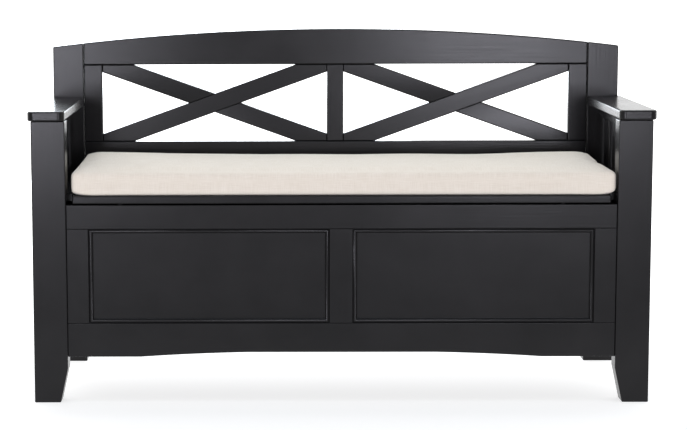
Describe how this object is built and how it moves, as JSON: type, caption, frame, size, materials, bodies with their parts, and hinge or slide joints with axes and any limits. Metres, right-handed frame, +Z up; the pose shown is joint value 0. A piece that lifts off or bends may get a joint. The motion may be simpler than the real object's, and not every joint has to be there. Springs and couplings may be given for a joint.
{
  "type": "storage bench",
  "caption": "Wooden storage bench with flat arms, an arched cross-braced back, a panelled box, a hinged seat lid and a loose cotton seat cushion.",
  "frame": {"origin": "on the floor, at the middle of the bench's footprint", "axes": "+X to the sitter's left hand side as the bench is seen from the front (viewer's right), +Y towards the back, +Z up"},
  "size_m": [1.27, 0.446, 0.7495],
  "materials": {
    "black_paint": "satin black paint on solid wood, eased edges",
    "black_panel_paint": "satin black paint on sheet panels",
    "cream_cotton": "plain woven cream cotton",
    "hinge_steel": "zinc-plated steel",
    "bumper_rubber": "matt rubber"
  },
  "bodies": {
    "bench_frame": {"front_leg_left": "black_paint", "rear_post_left": "black_paint", "arm_left": "black_paint", "side_top_rail_left": "black_paint", "side_seat_rail_left": "black_paint", "side_bottom_rail_left": "black_paint", "side_slat_left_1": "black_paint", "side_slat_left_2": "black_paint", "side_slat_left_3": "black_paint", "panel_bead_left": "black_paint", "front_stile_left": "black_paint", "back_stile_left": "black_paint", "brace_rising_left": "black_paint", "brace_falling_left": "black_paint", "seat_end_left": "black_paint", "seat_end_cleat_left": "black_paint", "front_leg_right": "black_paint", "rear_post_right": "black_paint", "arm_right": "black_paint", "side_top_rail_right": "black_paint", "side_seat_rail_right": "black_paint", "side_bottom_rail_right": "black_paint", "side_slat_right_1": "black_paint", "side_slat_right_2": "black_paint", "side_slat_right_3": "black_paint", "panel_bead_right": "black_paint", "front_stile_right": "black_paint", "back_stile_right": "black_paint", "brace_rising_right": "black_paint", "brace_falling_right": "black_paint", "seat_end_right": "black_paint", "seat_end_cleat_right": "black_paint", "front_top_rail": "black_paint", "front_bottom_rail": "black_paint", "front_mullion": "black_paint", "back_top_rail": "black_paint", "back_lower_rail": "black_paint", "back_centre_stile": "black_paint", "floor_cleat_front": "black_paint", "floor_cleat_rear": "black_paint", "seat_rear_strip": "black_paint", "seat_rear_rail": "black_paint", "side_panel_left": "black_panel_paint", "front_panel_left": "black_panel_paint", "side_panel_right": "black_panel_paint", "front_panel_right": "black_panel_paint", "box_floor": "black_panel_paint", "box_back_panel": "black_panel_paint", "lid_bumper_left": "bumper_rubber", "lid_bumper_right": "bumper_rubber", "hinge_frame_leaf_left": "hinge_steel", "hinge_frame_leaf_right": "hinge_steel", "hinge_pin_left": "hinge_steel", "hinge_pin_right": "hinge_steel"},
    "lid_assembly": {"lid": "black_paint", "lid_batten_left": "black_paint", "lid_batten_right": "black_paint", "seat_cushion": "cream_cotton", "hinge_lid_leaf_left": "hinge_steel", "hinge_lid_leaf_right": "hinge_steel"}
  },
  "joints": [
    {"name": "lid_hinge", "type": "hinge", "parent": "bench_frame", "child": "lid_assembly", "pos_m": [0, 0.135, 0.4294], "axis": [-1, 0, 0], "range_deg": [0, 85]}
  ]
}
